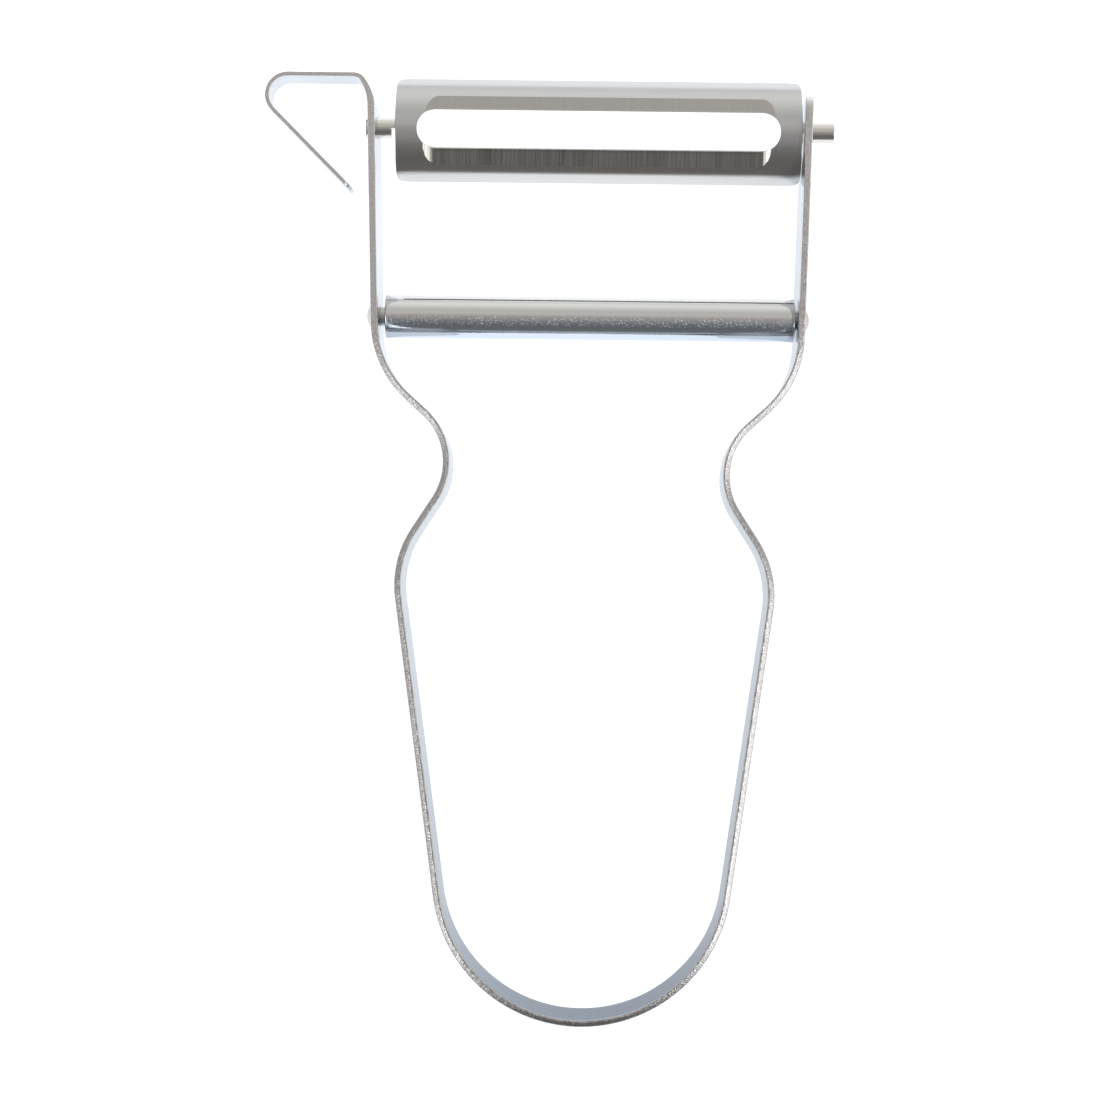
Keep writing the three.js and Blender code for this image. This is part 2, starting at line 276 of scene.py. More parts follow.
# Rolled strip: bright faces with lengthwise rolling lines, whose grazing reflection carries a painted
# shade that darkens it towards the handle's end. Its sheared edges are burnished on the inner side
# and torn on the outer side of the handle, with a ragged line between, and have dark specks, most of
# all on the handle.
def stripSteel():
    look = {
        "face": (0.74, 0.755, 0.77), "faceDull": (0.66, 0.67, 0.68),
        "bands": (40, 40, 1500), "bandRange": (0.35, 0.65),
        "grazing": (0.85, 0.87, 0.895), "grazingShaded": (0.29, 0.32, 0.36),
        "shadeAndWearTowards": (-0.35, 1.0, 0.0), "shadeAndWearRange": (0.0, 0.098),
        "burnished": (0.70, 0.685, 0.675), "torn": (0.50, 0.49, 0.49), "edgeRange": (0.55, 0.85),
        "teeth": (3200, 3200, 300), "toothShare": 0.7, "toothRange": (0.66, 0.84),
        "edgeSpeck": (0.40, 0.39, 0.385), "specks": (3000, 1500, 300), "speckRange": (0.44, 0.64),
        "speckShare": (0.2, 0.9), "speckWear": (0.0, 0.5),
        "faceRoughness": (0.12, 0.24), "edgeRoughness": (0.14, 0.28),
        "rollingLines": (60, 60, 9000), "lineBump": (0.12, 0.00002),
        "tears": (5200, 5200, 300), "tearBump": (0.65, 0.00008)}
    material, tree, shader, places = steel("stripSteel")
    spot = places.outputs["Object"]
    lines = streaks(tree, spot, look["rollingLines"])
    tears = streaks(tree, spot, look["tears"], detail=2.0)
    teeth = streaks(tree, spot, look["teeth"], detail=2.0)
    bands = streaks(tree, spot, look["bands"], detail=4.0)
    specks = streaks(tree, spot, look["specks"], detail=4.0)

    # The edges are what faces up or down; wear specks and a painted shade on the grazing reflection
    # both grow towards the handle's end
    edge = spread(tree, mathNode(tree, "ABSOLUTE", facingAlong(tree, places, "Z")), look["edgeRange"])
    along = addNode(tree, "ShaderNodeVectorMath", {0: spot, 1: look["shadeAndWearTowards"]},
                    operation="DOT_PRODUCT").outputs["Value"]
    shadeAndWear = spread(tree, along, look["shadeAndWearRange"], (1.0, 0.0))

    face = mixColour(tree, spread(tree, bands, look["bandRange"]), look["face"], look["faceDull"])
    ragged = mathNode(tree, "MULTIPLY_ADD", teeth, look["toothShare"], shareOf(tree, "torn"))
    tornShare = spread(tree, ragged, look["toothRange"])
    sheared = mixColour(tree, tornShare, look["burnished"], look["torn"])
    speckZone = spread(tree, shadeAndWear, look["speckWear"], look["speckShare"])
    specked = mathNode(tree, "MULTIPLY", speckZone, spread(tree, specks, look["speckRange"]))
    speckled = mixColour(tree, specked, sheared, look["edgeSpeck"])
    faceRough = spread(tree, lines, noiseRange, look["faceRoughness"])
    edgeRough = spread(tree, tears, noiseRange, look["edgeRoughness"])
    grain = bumpNode(tree, lines, look["lineBump"])
    tearHeight = mathNode(tree, "MULTIPLY", tears, edge)
    wire(tree, shader, {
        "Base Color": mixColour(tree, edge, face, speckled),
        # painted shade: the grazing reflection darkens towards the handle's end
        "Specular Tint": mixColour(tree, shadeAndWear, look["grazing"], look["grazingShaded"]),
        "Roughness": mixValue(tree, edge, faceRough, edgeRough),
        "Normal": bumpNode(tree, tearHeight, look["tearBump"], grain)})
    return material


# Blade sheet: satin with faint lengthwise lines and a painted warm reflection on its lower side; its
# ground edges carry cross grinding marks, and its rolled tangs are lighter and more polished
def bladeSteel():
    look = {
        "sheet": (0.62, 0.62, 0.615), "sheetWarmReflection": (0.61, 0.57, 0.545),
        "warmFrom": (-0.2, -0.5), "warmTo": (-0.64, -0.72),
        "tang": (0.72, 0.69, 0.65), "tangPolish": -0.06,
        "ground": (0.565, 0.545, 0.525), "groundDark": (0.31, 0.285, 0.26),
        "grindBands": (700, 60, 60), "bandShare": 0.5, "streakRange": (0.55, 0.95),
        "cloud": (260, 500, 500), "sheetRoughness": (0.14, 0.20), "groundRoughness": (0.10, 0.20),
        "rollingLines": (50, 5000, 5000), "lineBump": (0.06, 0.00002),
        "grindLines": (6500, 90, 90), "grindBump": (0.5, 0.00003)}
    material, tree, shader, places = steel("bladeSteel")
    spot = places.outputs["Object"]
    ground, scored, rolled = (shareOf(tree, name) for name in ("ground", "scored", "rolled"))
    lines = streaks(tree, spot, look["rollingLines"])
    marks = streaks(tree, spot, look["grindLines"], detail=2.0)
    bands = streaks(tree, spot, look["grindBands"])
    cloud = streaks(tree, spot, look["cloud"])

    streaked = mathNode(tree, "MULTIPLY_ADD", bands, look["bandShare"], marks)
    darkened = mathNode(tree, "MULTIPLY", scored, spread(tree, streaked, look["streakRange"]))
    groundColour = mixColour(tree, darkened, look["ground"], look["groundDark"])
    # painted reflection: the sheet turns warm where it faces the near side
    facing = facingAlong(tree, places, "Y")
    warmReflection = mathNode(tree, "MULTIPLY", spread(tree, facing, look["warmFrom"]),
                    spread(tree, facing, look["warmTo"], (1.0, 0.0)))
    sheet = mixColour(tree, warmReflection, look["sheet"], look["sheetWarmReflection"])
    plain = mixColour(tree, rolled, sheet, look["tang"])
    sheetRough = mathNode(tree, "MULTIPLY_ADD", rolled, look["tangPolish"],
                          spread(tree, cloud, noiseRange, look["sheetRoughness"]))
    groundRough = spread(tree, marks, noiseRange, look["groundRoughness"])
    grain = bumpNode(tree, lines, look["lineBump"])
    markHeight = mathNode(tree, "MULTIPLY", marks, scored)
    wire(tree, shader, {
        "Base Color": mixColour(tree, ground, plain, groundColour),
        "Roughness": mixValue(tree, ground, sheetRough, groundRough),
        "Normal": bumpNode(tree, markHeight, look["grindBump"], grain)})
    return material


# Drawn tube: polished, with a painted cool reflection on its near side, long faint draw lines and a
# band of small pits, painted bright as glints, that fades out below
def sleeveSteel():
    look = {
        "bright": (0.72, 0.72, 0.71), "coolReflection": (0.63, 0.69, 0.77), "coolReflectionRange": (-0.1, -0.4),
        "pitGlint": (0.84, 0.83, 0.85), "pits": (4600, 5600, 5600), "pitRange": (0.57, 0.65),
        "pitFrom": (0.04, -0.1), "pitTo": (-0.4, -0.62), "pitLeft": 0.15, "pitBump": (0.4, 0.00002),
        "roughness": (0.05, 0.12), "roughRange": (0.3, 0.75),
        "drawLines": (40, 6000, 6000), "lineBump": (0.05, 0.00002)}
    material, tree, shader, places = steel("sleeveSteel")
    spot = places.outputs["Object"]
    lines = streaks(tree, spot, look["drawLines"])
    pits = streaks(tree, spot, look["pits"], detail=2.0)
    facing = facingAlong(tree, places, "Y")
    # painted glints: pits are painted brighter only in a band on the near side that fades out below;
    # their bumps follow the same band
    speckZone = mathNode(tree, "MULTIPLY", spread(tree, facing, look["pitFrom"]),
                       spread(tree, facing, look["pitTo"], (1.0, look["pitLeft"])))
    pitted = mathNode(tree, "MULTIPLY", speckZone, spread(tree, pits, look["pitRange"]))
    # painted reflection: the tube turns cool where it faces the near side
    metal = mixColour(tree, spread(tree, facing, look["coolReflectionRange"]), look["bright"], look["coolReflection"])
    grain = bumpNode(tree, lines, look["lineBump"])
    wire(tree, shader, {
        "Base Color": mixColour(tree, pitted, metal, look["pitGlint"]),
        "Roughness": spread(tree, pits, look["roughRange"], look["roughness"]),
        "Normal": bumpNode(tree, pitted, look["pitBump"], grain)})
    return material


# Upset rivet: bright and slightly hammered
def rivetSteel():
    look = {
        "bright": (0.62, 0.61, 0.58), "dull": (0.47, 0.46, 0.44),
        "smear": (600, 600, 600), "smearRange": (0.35, 0.65), "roughness": (0.16, 0.34),
        "hammer": (1800, 1800, 1800), "hammerBump": (0.3, 0.00005)}
    material, tree, shader, places = steel("rivetSteel")
    spot = places.outputs["Object"]
    hammer = streaks(tree, spot, look["hammer"], detail=2.0)
    smear = spread(tree, streaks(tree, spot, look["smear"]), look["smearRange"])
    wire(tree, shader, {
        "Base Color": mixColour(tree, smear, look["bright"], look["dull"]),
        "Roughness": spread(tree, hammer, noiseRange, look["roughness"]),
        "Normal": bumpNode(tree, hammer, look["hammerBump"])})
    return material


# The strip
stripShape = {
    "width": 10.5, "thickness": 0.8, "outerRound": 0.16, "innerRound": 0.1,
    "slant": 0.36, "flatShare": 0.3, "slantFrom": 76, "slantTo": 82,
    "handleEndRadius": 17, "handleLean": 7.9, "handleWidth": 44.1,
    "shoulderRadius": 11.6, "lowerSlope": 33, "neckWidth": 33.3, "neckRadius": 7.8, "neckSkew": 0.5,
    "upperSlope": 48, "armBendRadius": 11.7, "armSpan": 50.3, "armSplay": 1.5,
    "pivotToArmEnd": 3.6, "cornerRadius": 1.6, "pivotToLean": 1.9, "leanRadius": 5, "leanTurn": 28,
    "pivotToTongue": 2.6, "tongueTaper": 3.7, "tongueWidth": 5.2, "tongueThickness": 0.45,
    "leanRun": 0.5, "tongueInnerBend": 1.34, "tongueRun": 7.55, "tongueOuterBend": 2.41,
    "tongueTurn": 135, "tongueReturn": 12.8, "tipRadius": 1.2,
    "pivotHole": 2.6, "rivetHole": 2.4, "holeReach": 28, "holeSegments": 64,
    "step": 0.4, "tongueStep": 0.12, "tongueGap": 0.01}


# Lengths and turns of one half of the strip, from the middle of the handle's end to the arm.
# Each straight stretch is what is left between two bends, divided by the sine of its slope. The
# skew is what the side of the handle is longer than in an even strip.
def halfStretches(shape, skew):
    lean, lower, upper, splay = (np.radians(shape[k]) for k in
                                 ("handleLean", "lowerSlope", "upperSlope", "armSplay"))
    shoulder, neck, arm = ((shape[k] - shape["thickness"]) / 2 for k in
                           ("handleWidth", "neckWidth", "armSpan"))
    endR, shoulderR, neckR, armR = (shape[k] for k in ("handleEndRadius", "shoulderRadius",
                                                       "neckRadius", "armBendRadius"))
    side = (shoulder - shoulderR * (1 - np.cos(lean)) - endR * np.cos(lean)) / np.sin(lean)
    spreadIn = shoulder + skew * np.sin(lean) - neck - (shoulderR + neckR) * (1 - np.cos(lower))
    below = spreadIn / np.sin(lower)
    spreadOut = arm - neck - armR * (np.cos(splay) - np.cos(upper)) - neckR * (1 - np.cos(upper))
    above = spreadOut / np.sin(upper)
    return [(endR * (np.pi / 2 - lean), lean - np.pi / 2), (side + skew, 0),
            (shoulderR * (lean + lower), -lean - lower), (below, 0),
            (neckR * (lower + upper), lower + upper), (above, 0),
            (armR * (upper - splay), splay - upper)]


# Places along a bent line: the heading, from +Y towards +X, changes evenly along each bend and
# not at all along a straight, and x and y add up its sine and cosine
def bentLine(stretches, places, fineStep=0.02):
    lengths, turns = np.array(stretches, float).T
    marks = np.concatenate([[0], np.cumsum(lengths)])
    headings = np.concatenate([[np.pi / 2], np.pi / 2 + np.cumsum(turns)])
    fine = np.linspace(0, marks[-1], int(marks[-1] / fineStep) + 2)
    middle = (fine[1:] + fine[:-1]) / 2
    run = np.diff(fine)
    middleHeading = np.interp(middle, marks, headings)
    x = np.concatenate([[0], np.cumsum(run * np.sin(middleHeading))])
    y = np.concatenate([[0], np.cumsum(run * np.cos(middleHeading))])
    heading = np.interp(places, marks, headings)
    return np.interp(places, fine, x), np.interp(places, fine, y), heading


# Stations from a start to an end, with the last stretch eased into a rounded corner
def easedEnd(start, end, radius, step, cornerSteps=10):
    straight = np.linspace(start, end - radius, max(int((end - radius - start) / step), 2))
    corner = end - radius + radius * np.sin(np.linspace(0, np.pi / 2, cornerSteps))
    return np.concatenate([straight, corner[1:]])


# How far a rounded corner has come in at each place before an end
def cornerInset(places, end, radius):
    into = np.clip(places - (end - radius), 0, radius)
    return radius - np.sqrt(radius ** 2 - into ** 2)


# Section of the strip in shares of its thickness: places across, shares of the height, and rises
# there. Each corner is a quarter circle; points follow it along the edge or the broad face.
def stripSection(shape, cornerSteps=5, sideSteps=7):
    corners = [(1, 1, 0), (-1, 1, 90), (-1, 0, 180), (1, 0, 270)]  # side, upper or not, first degrees
    outerRound, innerRound = shape["outerRound"], shape["innerRound"]
    across, up, rise = [], [], []
    for side, upper, start in corners:
        radius = outerRound if side > 0 else innerRound
        turn = np.radians(start + np.linspace(0, 90, cornerSteps))
        across.append(side * (0.5 - radius) + radius * np.cos(turn))
        up.append(np.full(cornerSteps, float(upper)))
        rise.append(radius * (1 - 2 * upper) + radius * np.sin(turn))
        if side > 0 and upper:
            across.append(np.linspace(0.5 - outerRound, innerRound - 0.5, sideSteps + 2)[1:-1])
            up.append(np.ones(sideSteps))
            rise.append(np.zeros(sideSteps))
        if (side > 0) != (upper > 0):
            share = np.linspace(upper, 1 - upper, sideSteps + 2)[1:-1]
            across.append(np.full(sideSteps, side * 0.5))
            up.append(share)
            rise.append(radius * (1 - 2 * share))
    return (np.concatenate(part) for part in (across, up, rise))


# Along a half: where its arm begins and where its pivot is
def armMarks(shape, half):
    foot = sum(length for length, _ in half)
    footY = bentLine(half, np.array([foot]))[1][0]
    return foot, foot + (bladePivot[1] - footY) / np.cos(np.radians(shape["armSplay"]))


# The section carried along the bent line: the right half from the arm's end down to the handle,
# then the left half up to the tongue's tip, with the width and thickness set per station
def stripGrid(shape):
    splay, lean, turn = (np.radians(shape[k]) for k in ("armSplay", "leanTurn", "tongueTurn"))
    rightHalf = halfStretches(shape, -shape["neckSkew"])
    leftHalf = halfStretches(shape, shape["neckSkew"])
    rightFoot, rightPivot = armMarks(shape, rightHalf)
    leftFoot, leftPivot = armMarks(shape, leftHalf)
    rightEnd = rightPivot + shape["pivotToArmEnd"]
    tongueAt = leftPivot + shape["pivotToTongue"]
    inward = np.pi / 2 - splay - lean
    tongue = [(leftPivot + shape["pivotToLean"] - leftFoot, 0), (shape["leanRadius"] * lean, lean),
              (shape["leanRun"], 0), (shape["tongueInnerBend"] * inward, inward),
              (shape["tongueRun"], 0), (shape["tongueOuterBend"] * turn, turn),
              (shape["tongueReturn"], 0)]
    leftEnd = leftFoot + sum(length for length, _ in tongue)

    right = easedEnd(0, rightEnd, shape["cornerRadius"], shape["step"])[::-1]
    leftArm = easedEnd(0, tongueAt, shape["cornerRadius"], shape["step"])[1:]
    tongueStart = tongueAt + shape["tongueGap"]
    loop = easedEnd(tongueStart, leftEnd, shape["tipRadius"], shape["tongueStep"])
    left = np.concatenate([leftArm, loop])

    # Right half
    rightX, rightY, rightHeading = bentLine(rightHalf + [(rightEnd - rightFoot, 0)], right)
    rightInset = cornerInset(right, rightEnd, shape["cornerRadius"])
    rightOut = np.stack([np.cos(rightHeading), -np.sin(rightHeading)], axis=-1)

    # Left half, mirrored: the shoulder is only at the lower edge, the tip has two corners
    leftX, leftY, leftHeading = bentLine(leftHalf + tongue, left)
    leftOut = np.stack([-np.cos(leftHeading), -np.sin(leftHeading)], axis=-1)
    onTongue = left > tongueAt
    tip = cornerInset(left, leftEnd, shape["tipRadius"])
    shoulder = cornerInset(np.minimum(left, tongueAt), tongueAt, shape["cornerRadius"])
    leftBottom = np.where(onTongue, shape["width"] - shape["tongueWidth"] + tip, shoulder)
    leftTop = shape["width"] - tip
    leftThick = np.interp(left, [tongueAt, tongueAt + shape["tongueTaper"]],
                          [shape["thickness"], shape["tongueThickness"]])

    # Both halves in one: the height at a point is the bottom's plus its share of the width, and the
    # handle's upper edge drops evenly towards the outside past its flat share
    middle = np.concatenate([np.stack([rightX, rightY], axis=-1), np.stack([-leftX, leftY], axis=-1)])
    outward = np.concatenate([rightOut, leftOut])
    bottom = np.concatenate([rightInset, leftBottom])[:, None]
    top = np.concatenate([shape["width"] - rightInset, leftTop])[:, None]
    thick = np.concatenate([np.full(len(right), shape["thickness"]), leftThick])[:, None]
    across, up, rise = stripSection(shape)
    onHandle = np.interp(middle[:, 1], [shape["slantFrom"], shape["slantTo"]], [1, 0])[:, None]
    drop = shape["slant"] * onHandle * up * np.clip(across + 0.5 - shape["flatShare"], 0, None)
    z = bottom + up * (top - bottom) + (rise - drop) * thick
    xy = middle[:, None, :] + (across * thick)[..., None] * outward[:, None, :]
    return np.concatenate([xy, z[..., None]], axis=-1), {"torn": onHandle * (across + 0.5)}


# Round bars through both arms that cut the holes for the tangs and the rivet
def holeBars(shape):
    bars = []
    reach = shape["holeReach"]
    for name, centre, diameter in (("tangHoles", bladePivot, shape["pivotHole"]),
                                   ("rivetHoles", crossbar, shape["rivetHole"])):
        profile = np.array([[-reach, diameter / 2], [reach, diameter / 2]], float)
        bars.append(gridMesh(name, turned(profile, centre, shape["holeSegments"])))
    return bars


stripPoints, stripShades = stripGrid(stripShape)
placePiece("strip", gridMesh("strip", stripPoints, shades=stripShades), stripSteel(),
           "frame", "strip_frame", tools=holeBars(stripShape))

# The blade
bladeShape = {
    "radius": 7.67, "sheet": 0.4, "length": 47.6, "halfArc": (54.0, 51.75), "cornerPower": 11,
    "lean": 2.5, "rimAngle": -39, "rimBend": 9, "rimSoft": 0.5,
    "slotLength": 42.65, "slotHalfArc": 17.65, "settleRounds": 30,
    "grindHalfArc": (33.4, 30.2), "grindEndMargin": 0.9, "grindShift": 0.2, "grindLeast": 0.0001,
    "wheelRadius": 3.6, "keenEdge": 0.03, "lowerLip": 0.12, "lipPower": 12,
    "edgeRound": 0.1, "beadSteps": 9, "beadPower": 0.6, "endMargin": 0.02,
    "fanReach": 0.75, "fanPower": 2.6, "upperScoring": 0.1,
    "tangDiameter": 2.4, "tangReach": {-1: 3.5, 1: 3.8}, "tangGap": 0.45,
    "tangStartRound": 0.12, "tangRound": 0.08, "tangRoundSteps": 8, "tangSegments": 64,
    "neckOverlap": 0.4, "neckSweep": (-5, 95), "neckSteps": 15, "neckBack": 0.1, "neckInset": 0.03,
    "fanRays": 121, "sideRays": 90, "facetRings": 24, "sheetRings": 22, "innerRings": 26}


# Outer radius of the sheet at a place along x and an angle from the crown. On a ground edge it is
# the flat's distance from the centre over the cosine of the angle to its normal; at the ends of the
# flat the grinding wheel lifts out along a circle, which adds to that distance.
def outerRadius(shape, x, angle):
    outer = shape["radius"]
    inner = outer - shape["sheet"]
    wide = np.radians(np.where(angle < 0, *shape["grindHalfArc"]))
    narrow = np.radians(shape["slotHalfArc"])
    rise = inner * np.cos(narrow) - outer * np.cos(wide)
    run = outer * np.sin(wide) - inner * np.sin(narrow)
    normal = np.arctan2(rise, run)
    distance = inner * np.cos(narrow - normal)
    depth = outer * np.cos(narrow - normal) - distance
    wheel = shape["wheelRadius"]
    liftLength = np.sqrt(2 * wheel * depth - depth ** 2)
    liftStart = shape["slotLength"] / 2 - shape["grindEndMargin"] - liftLength
    past = np.clip(np.abs(x - shape["grindShift"] * np.sign(angle)) - liftStart, 0, wheel)
    lift = wheel - np.sqrt(wheel ** 2 - past ** 2)
    flat = (distance + lift) / np.cos(np.abs(angle) - normal)
    return np.clip(flat, inner + shape["keenEdge"], outer)


# How far the lower rim has come in at an angle from the crown: its slope grows evenly over a short
# arc and then stays
def rimDrop(shape, angle):
    past = np.clip(shape["radius"] * (np.radians(shape["rimAngle"]) - angle), 0, None)
    soft = shape["rimSoft"]
    eased = np.where(past < soft, past ** 2 / (2 * soft), past - soft / 2)
    return np.tan(np.radians(shape["rimBend"])) * eased


# Rays from the slot's edge to the sheet's edge: straight across along both sides and fanned out
# round both ends. Each has a centre on the middle line and a direction.
def bladeRays(shape, straight):
    fan = np.radians(np.linspace(-90, 90, shape["fanRays"]))
    side = straight * np.sin(np.radians(np.linspace(90, -90, shape["sideRays"] + 2)))[1:-1]
    up = np.full(len(side), np.pi / 2)
    centre = np.concatenate([np.full(len(fan), straight), side, np.full(len(fan), -straight), -side])
    turn = np.concatenate([fan, up, fan + np.pi, up + np.pi])
    return centre, np.cos(turn), np.sin(turn)


# Reach of a superellipse along each ray: a box with rounded corners
def boxReach(dirX, dirY, halfX, halfY, power):
    return ((np.abs(dirX) / halfX) ** power + (np.abs(dirY) / halfY) ** power) ** (-1 / power)


# The sheet as a ring of profiles round the slot. Each profile goes out along the outer surface,
# from the slot past the ground edge to the sheet's edge, round that edge and back along the inner
# surface. Places on the surface are x and the arc from the crown.
def bladeGrid(shape):
    outer = shape["radius"]
    inner = outer - shape["sheet"]
    slotHalf = inner * np.sin(np.radians(shape["slotHalfArc"]))
    straight = shape["slotLength"] / 2 - slotHalf
    centre, dirX, dirY = bladeRays(shape, straight)
    endX = shape["length"] / 2 - straight
    slotX = centre + slotHalf * dirX
    slotY = slotHalf * dirY
    lip = shape["lowerLip"] * np.clip(-dirY, 0, 1)  # the lower edge is turned down
    outSlot = slotHalf + lip
    outSlotX = centre + outSlot * dirX
    outSlotY = outSlot * dirY
    grindHalf = outer * np.radians(np.where(dirY < 0, *shape["grindHalfArc"]))
    grindReach = boxReach(dirX, dirY, shape["fanReach"] * endX, grindHalf, shape["fanPower"])
    edgeHalf = outer * np.radians(np.where(dirY < 0, *shape["halfArc"]))
    edgeReach = boxReach(dirX, dirY, endX, edgeHalf, shape["cornerPower"])

    # The angle at which the outer surface meets the slot's wall, settled in rounds
    slotAngle = np.arcsin(outSlotY / outer)
    for _ in range(shape["settleRounds"]):
        slotAngle = np.arcsin(outSlotY / outerRadius(shape, outSlotX, slotAngle))
    facet = np.linspace(0, 1, shape["facetRings"])[:, None]
    sheet = np.linspace(0, 1, shape["sheetRings"])[1:, None]
    grindX = centre + grindReach * dirX
    grindAngle = grindReach * dirY / outer
    edgeX = centre + edgeReach * dirX
    edgeAngle = edgeReach * dirY / outer
    outX = np.concatenate([outSlotX + facet * (grindX - outSlotX), grindX + sheet * (edgeX - grindX)])
    outAngle = np.concatenate([slotAngle + facet * (grindAngle - slotAngle),
                               grindAngle + sheet * (edgeAngle - grindAngle)])
    outR = outerRadius(shape, outX, outAngle)

    # The rolled-over edge of the sheet: a half round from the outer to the inner surface
    bead = np.radians(np.linspace(0, 180, shape["beadSteps"]))[1:-1, None]
    swell = shape["edgeRound"] * np.sin(bead) ** shape["beadPower"]
    beadX = edgeX + swell * dirX * np.abs(dirX)
    beadAngle = edgeAngle + swell * dirY * np.abs(dirY) / outer
    beadR = np.broadcast_to((outer + inner) / 2 + shape["sheet"] / 2 * np.cos(bead), beadX.shape)

    # The inner surface, back to the slot, where the lip comes in at the very end
    back = np.linspace(0, 1, shape["innerRings"])[:, None]
    innerSlotAngle = np.arcsin(slotY / inner)
    backX = edgeX + back * (slotX - edgeX)
    backAngle = edgeAngle + back * (innerSlotAngle - edgeAngle)
    backR = inner - lip * back ** shape["lipPower"]

    x = np.concatenate([outX, beadX, backX])
    angle = np.concatenate([outAngle, beadAngle, backAngle])
    radius = np.concatenate([outR, beadR, backR]) - rimDrop(shape, angle)
    ground = np.zeros(x.shape)
    ground[:len(outR)] = outR < outer - shape["grindLeast"]
    scored = ground * np.where(angle < 0, 1.0, shape["upperScoring"])
    centreZ = shape["tangDiameter"] / 2 - outer
    grid = np.stack([x, radius * np.sin(angle), radius * np.cos(angle) + centreZ], axis=-1)
    return grid, {"ground": ground, "scored": scored, "rolled": np.zeros(x.shape)}


# Turns points about the tang axis by the blade's lean and moves them to the pivot
def onPivot(shape, grid):
    lean = np.radians(shape["lean"])
    x, y, z = grid[..., 0], grid[..., 1], grid[..., 2]
    turnedY = y * np.cos(lean) - z * np.sin(lean)
    turnedZ = y * np.sin(lean) + z * np.cos(lean)
    return np.stack([x, turnedY, turnedZ], axis=-1) + bladePivot


# Joining the tangs to the sheet leaves them with shares of its ground edges. All that lies past the
# ends of the sheet is rolled up and not ground, so its shares are set again.
def markTangs(mesh, shape):
    places = np.empty(len(mesh.vertices) * 3)
    mesh.vertices.foreach_get("co", places)
    sheetEnd = shape["length"] / 2 + shape["edgeRound"] + shape["endMargin"]
    past = np.abs(places[0::3] / mm - bladePivot[0]) > sheetEnd
    for key, share in (("ground", 0.0), ("scored", 0.0), ("rolled", 1.0)):
        data = mesh.attributes[key].data
        values = np.empty(len(data), np.float32)
        data.foreach_get("value", values)
        values[past] = share
        data.foreach_set("value", values)


# A round tang at one end: a bar with a broken edge, and the quarter neck that holds it to the crown
def tangMeshes(shape, side):
    radius = shape["tangDiameter"] / 2
    start = shape["length"] / 2 + shape["tangGap"]
    end = shape["length"] / 2 + shape["tangReach"][side]
    first, last = shape["tangStartRound"], shape["tangRound"]
    profile = np.concatenate([
        quarterRound(start + first, radius - first, first, 180, 90),
        quarterRound(end - last, radius - last, last, 90, 0, shape["tangRoundSteps"])])
    profile[:, 0] *= side
    pin = gridMesh("pin", onPivot(shape, turned(profile, (0, 0, 0), shape["tangSegments"])))

    # The neck's section: a round quarter from just before the crown to the far side, and back
    sweep = np.radians(np.linspace(*shape["neckSweep"], shape["neckSteps"]))
    reach = radius - shape["neckInset"]
    quarter = np.stack([reach * np.sin(sweep), reach * np.cos(sweep)], axis=-1)[:-1]
    section = np.concatenate([quarter, [[reach, 0], [-shape["neckBack"], 0]]])
    ends = side * np.array([shape["length"] / 2 - shape["neckOverlap"], start + shape["neckOverlap"]])
    neckGrid = np.stack([np.concatenate([np.full((len(section), 1), x), section], axis=-1)
                         for x in ends])
    neck = gridMesh("neck", onPivot(shape, neckGrid))
    return [pin, neck]


sheetGrid, sheetShades = bladeGrid(bladeShape)
bladeMesh = gridMesh("blade", onPivot(bladeShape, sheetGrid), ringsClose=True, shades=sheetShades)
bladePiece = placePiece("slottedBlade", bladeMesh, bladeSteel(), "blade", "blade",
                        tools=tangMeshes(bladeShape, 1) + tangMeshes(bladeShape, -1),
                        operation="UNION", creaseAngle=14)
markTangs(bladePiece.data, bladeShape)

# The crossbar's sleeve
sleeveShape = {"bore": 2.4, "endRound": 0.22, "lengthSteps": 24, "segments": 128}
sleeveLow, sleeveHigh = boxOf("crossbar_sleeve")


# A thick ring profile, with rounded ends, turned about the rivet
def sleeveGrid(shape):
    outer = (sleeveHigh[2] - sleeveLow[2]) / 2
    bore = shape["bore"] / 2
    soft = shape["endRound"]
    start, end = sleeveLow[0], sleeveHigh[0]
    along = np.linspace(start + soft, end - soft, shape["lengthSteps"])[1:-1]
    profile = np.concatenate([
        quarterRound(start + soft, outer - soft, soft, 180, 90),
        np.stack([along, np.full(len(along), outer)], axis=-1),
        quarterRound(end - soft, outer - soft, soft, 90, 0),
        [[end, bore], [start, bore]]])
    return turned(profile, crossbar, shape["segments"])


placePiece("crossbarSleeve", gridMesh("sleeve", sleeveGrid(sleeveShape), ringsClose=True),
           sleeveSteel(), "sleeve", "crossbar_sleeve")

# The rivet
rivetShape = {
    "shank": 2.2, "head": 3.1, "headHeight": 0.65, "rimRound": 0.06,
    "domeSteps": 18, "domeMiddle": 0.03, "segments": 72}
rivetHigh = boxOf("crossbar_rivet")[1]


# A shank with a low dome at each end; the dome is a circle through the head's rim and its middle
def rivetGrid(shape):
    shank, head, height = shape["shank"] / 2, shape["head"] / 2, shape["headHeight"]
    seat = rivetHigh[0] - height
    dome = (head ** 2 + height ** 2) / (2 * height)
    angle = np.arcsin(head / dome) * np.linspace(1, shape["domeMiddle"], shape["domeSteps"])
    domeX = seat + height - dome * (1 - np.cos(angle))
    rightHalf = np.concatenate([
        [[0, shank], [seat, shank], [seat, head - shape["rimRound"]]],
        np.stack([domeX, dome * np.sin(angle)], axis=-1)])
    leftHalf = rightHalf[:0:-1] * [-1, 1]
    return turned(np.concatenate([leftHalf, rightHalf]), crossbar, shape["segments"])


placePiece("crossbarRivet", gridMesh("rivet", rivetGrid(rivetShape)), rivetSteel(),
           "frame", "crossbar_rivet")

# The floor: matt and pale, with a faint cloud, and lit a little from within
floorLook = {
    "size": 3.0, "pale": (0.36, 0.37, 0.385), "paler": (0.40, 0.41, 0.425), "cloud": (6, 6, 6),
    "roughness": 0.9, "gloss": 0.0, "glow": (0.86, 0.88, 0.91), "glowStrength": 1.12}


